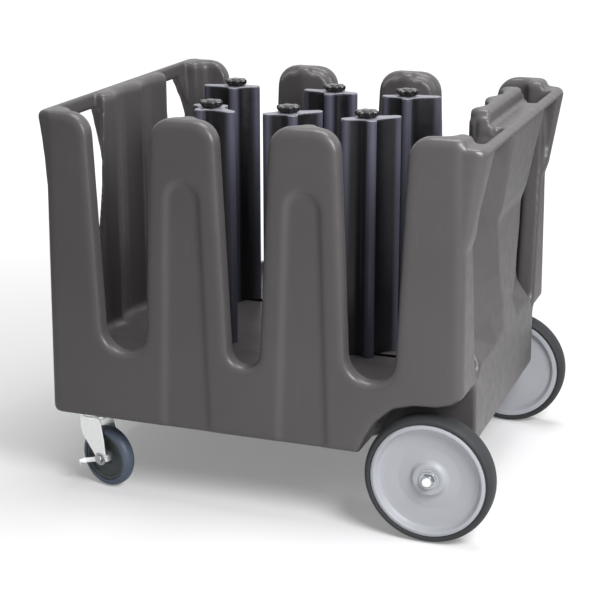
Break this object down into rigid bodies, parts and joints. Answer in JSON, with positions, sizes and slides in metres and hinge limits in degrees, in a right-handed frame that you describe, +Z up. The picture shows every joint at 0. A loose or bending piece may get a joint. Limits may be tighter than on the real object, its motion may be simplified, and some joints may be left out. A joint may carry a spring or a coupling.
{
  "type": "plate dispenser cart",
  "caption": "Wheeled double-walled plastic caddy that holds stacks of plates between notched walls and sliding, turning star-section towers.",
  "frame": {"origin": "on the floor, at the middle of the cart's overall length and width", "axes": "+X towards the end with the large wheels, +Y across the cart, +Z up"},
  "size_m": [0.926, 0.734, 0.8],
  "materials": {
    "tub_plastic": "warm dark grey moulded polyethylene, fine leathery skin, satin",
    "tower_plastic": "charcoal with a blue cast, satin",
    "cap_plastic": "light blue-grey, satin",
    "knob_plastic": "black, glossy",
    "wheel_plastic": "light grey moulded nylon, satin",
    "core_plastic": "dark grey-green, satin",
    "tyre_rubber": "dark grey non-marking rubber",
    "caster_rubber": "blue-grey thermoplastic rubber",
    "zinc_steel": "bright zinc plate",
    "bright_steel": "polished plated steel"
  },
  "bodies": {
    "cart": {"tub_body": "tub_plastic", "wheel_axle": "zinc_steel", "axle_bracket_left": "zinc_steel", "axle_bracket_right": "zinc_steel", "axle_sleeve_left": "zinc_steel", "axle_sleeve_right": "zinc_steel", "axle_washer_left": "bright_steel", "axle_washer_right": "bright_steel", "axle_nut_left": "bright_steel", "axle_nut_right": "bright_steel", "caster_plate_left": "zinc_steel", "caster_plate_right": "zinc_steel"},
    "wheel_left": {"wheel_hub_left": "wheel_plastic", "wheel_tyre_left": "tyre_rubber"},
    "wheel_right": {"wheel_hub_right": "wheel_plastic", "wheel_tyre_right": "tyre_rubber"},
    "caster_left": {"caster_fork_left": "zinc_steel", "caster_bolt_left": "bright_steel"},
    "caster_wheel_left": {"caster_core_left": "core_plastic", "caster_tyre_left": "caster_rubber"},
    "brake_left": {"brake_pedal_left": "zinc_steel"},
    "caster_right": {"caster_fork_right": "zinc_steel", "caster_bolt_right": "bright_steel"},
    "caster_wheel_right": {"caster_core_right": "core_plastic", "caster_tyre_right": "caster_rubber"},
    "brake_right": {"brake_pedal_right": "zinc_steel"},
    "tower_slider_front_left": {"tower_rod_front_left": "zinc_steel", "tower_clamp_front_left": "zinc_steel"},
    "tower_front_left": {"tower_column_front_left": "tower_plastic", "tower_cap_front_left": "cap_plastic"},
    "knob_front_left": {"tower_knob_front_left": "knob_plastic"},
    "tower_slider_middle_left": {"tower_rod_middle_left": "zinc_steel", "tower_clamp_middle_left": "zinc_steel"},
    "tower_middle_left": {"tower_column_middle_left": "tower_plastic", "tower_cap_middle_left": "cap_plastic"},
    "knob_middle_left": {"tower_knob_middle_left": "knob_plastic"},
    "tower_slider_rear_left": {"tower_rod_rear_left": "zinc_steel", "tower_clamp_rear_left": "zinc_steel"},
    "tower_rear_left": {"tower_column_rear_left": "tower_plastic", "tower_cap_rear_left": "cap_plastic"},
    "knob_rear_left": {"tower_knob_rear_left": "knob_plastic"},
    "tower_slider_front_right": {"tower_rod_front_right": "zinc_steel", "tower_clamp_front_right": "zinc_steel"},
    "tower_front_right": {"tower_column_front_right": "tower_plastic", "tower_cap_front_right": "cap_plastic"},
    "knob_front_right": {"tower_knob_front_right": "knob_plastic"},
    "tower_slider_middle_right": {"tower_rod_middle_right": "zinc_steel", "tower_clamp_middle_right": "zinc_steel"},
    "tower_middle_right": {"tower_column_middle_right": "tower_plastic", "tower_cap_middle_right": "cap_plastic"},
    "knob_middle_right": {"tower_knob_middle_right": "knob_plastic"},
    "tower_slider_rear_right": {"tower_rod_rear_right": "zinc_steel", "tower_clamp_rear_right": "zinc_steel"},
    "tower_rear_right": {"tower_column_rear_right": "tower_plastic", "tower_cap_rear_right": "cap_plastic"},
    "knob_rear_right": {"tower_knob_rear_right": "knob_plastic"}
  },
  "joints": [
    {"name": "wheel_left_spin", "type": "hinge", "parent": "cart", "child": "wheel_left", "pos_m": [0.336, -0.338, 0.127], "axis": [0, 1, 0], "continuous": true},
    {"name": "wheel_right_spin", "type": "hinge", "parent": "cart", "child": "wheel_right", "pos_m": [0.336, 0.338, 0.127], "axis": [0, 1, 0], "continuous": true},
    {"name": "caster_left_swivel", "type": "hinge", "parent": "cart", "child": "caster_left", "pos_m": [-0.39, -0.3, 0.147], "axis": [0, 0, 1], "continuous": true},
    {"name": "caster_left_roll", "type": "hinge", "parent": "caster_left", "child": "caster_wheel_left", "pos_m": [-0.35653, -0.31023, 0.0635], "axis": [0.2924, 0.9563, 0], "continuous": true},
    {"name": "caster_left_brake", "type": "hinge", "parent": "caster_left", "child": "brake_left", "pos_m": [-0.35653, -0.31023, 0.0635], "axis": [0.2924, 0.9563, 0], "range_deg": [0, 36]},
    {"name": "caster_right_swivel", "type": "hinge", "parent": "cart", "child": "caster_right", "pos_m": [-0.39, 0.3, 0.147], "axis": [0, 0, 1], "continuous": true},
    {"name": "caster_right_roll", "type": "hinge", "parent": "caster_right", "child": "caster_wheel_right", "pos_m": [-0.35653, 0.31023, 0.0635], "axis": [-0.2924, 0.9563, 0], "continuous": true},
    {"name": "caster_right_brake", "type": "hinge", "parent": "caster_right", "child": "brake_right", "pos_m": [-0.35653, 0.31023, 0.0635], "axis": [-0.2924, 0.9563, 0], "range_deg": [0, 36]},
    {"name": "tower_front_left_slide", "type": "slide", "parent": "cart", "child": "tower_slider_front_left", "axis": [1, 0, 0], "range_m": [-0.085, 0.015]},
    {"name": "tower_front_left_turn", "type": "hinge", "parent": "tower_slider_front_left", "child": "tower_front_left", "pos_m": [-0.191, -0.131, 0.5], "axis": [0, 0, 1], "continuous": true},
    {"name": "tower_front_left_knob", "type": "hinge", "parent": "tower_slider_front_left", "child": "knob_front_left", "pos_m": [-0.191, -0.131, 0.778], "axis": [0, 0, 1], "range_deg": [0, 360]},
    {"name": "tower_middle_left_slide", "type": "slide", "parent": "cart", "child": "tower_slider_middle_left", "axis": [1, 0, 0], "range_m": [-0.05, 0.05]},
    {"name": "tower_middle_left_turn", "type": "hinge", "parent": "tower_slider_middle_left", "child": "tower_middle_left", "pos_m": [-0.026, -0.131, 0.5], "axis": [0, 0, 1], "continuous": true},
    {"name": "tower_middle_left_knob", "type": "hinge", "parent": "tower_slider_middle_left", "child": "knob_middle_left", "pos_m": [-0.026, -0.131, 0.778], "axis": [0, 0, 1], "range_deg": [0, 360]},
    {"name": "tower_rear_left_slide", "type": "slide", "parent": "cart", "child": "tower_slider_rear_left", "axis": [1, 0, 0], "range_m": [-0.012, 0.088]},
    {"name": "tower_rear_left_turn", "type": "hinge", "parent": "tower_slider_rear_left", "child": "tower_rear_left", "pos_m": [0.136, -0.131, 0.5], "axis": [0, 0, 1], "continuous": true},
    {"name": "tower_rear_left_knob", "type": "hinge", "parent": "tower_slider_rear_left", "child": "knob_rear_left", "pos_m": [0.136, -0.131, 0.778], "axis": [0, 0, 1], "range_deg": [0, 360]},
    {"name": "tower_front_right_slide", "type": "slide", "parent": "cart", "child": "tower_slider_front_right", "axis": [1, 0, 0], "range_m": [-0.032, 0.068]},
    {"name": "tower_front_right_turn", "type": "hinge", "parent": "tower_slider_front_right", "child": "tower_front_right", "pos_m": [-0.244, 0.131, 0.5], "axis": [0, 0, 1], "continuous": true},
    {"name": "tower_front_right_knob", "type": "hinge", "parent": "tower_slider_front_right", "child": "knob_front_right", "pos_m": [-0.244, 0.131, 0.778], "axis": [0, 0, 1], "range_deg": [0, 360]},
    {"name": "tower_middle_right_slide", "type": "slide", "parent": "cart", "child": "tower_slider_middle_right", "axis": [1, 0, 0], "range_m": [-0.057, 0.043]},
    {"name": "tower_middle_right_turn", "type": "hinge", "parent": "tower_slider_middle_right", "child": "tower_middle_right", "pos_m": [-0.019, 0.131, 0.5], "axis": [0, 0, 1], "continuous": true},
    {"name": "tower_middle_right_knob", "type": "hinge", "parent": "tower_slider_middle_right", "child": "knob_middle_right", "pos_m": [-0.019, 0.131, 0.778], "axis": [0, 0, 1], "range_deg": [0, 360]},
    {"name": "tower_rear_right_slide", "type": "slide", "parent": "cart", "child": "tower_slider_rear_right", "axis": [1, 0, 0], "range_m": [-0.017, 0.083]},
    {"name": "tower_rear_right_turn", "type": "hinge", "parent": "tower_slider_rear_right", "child": "tower_rear_right", "pos_m": [0.141, 0.131, 0.5], "axis": [0, 0, 1], "continuous": true},
    {"name": "tower_rear_right_knob", "type": "hinge", "parent": "tower_slider_rear_right", "child": "knob_rear_right", "pos_m": [0.141, 0.131, 0.778], "axis": [0, 0, 1], "range_deg": [0, 360]}
  ]
}
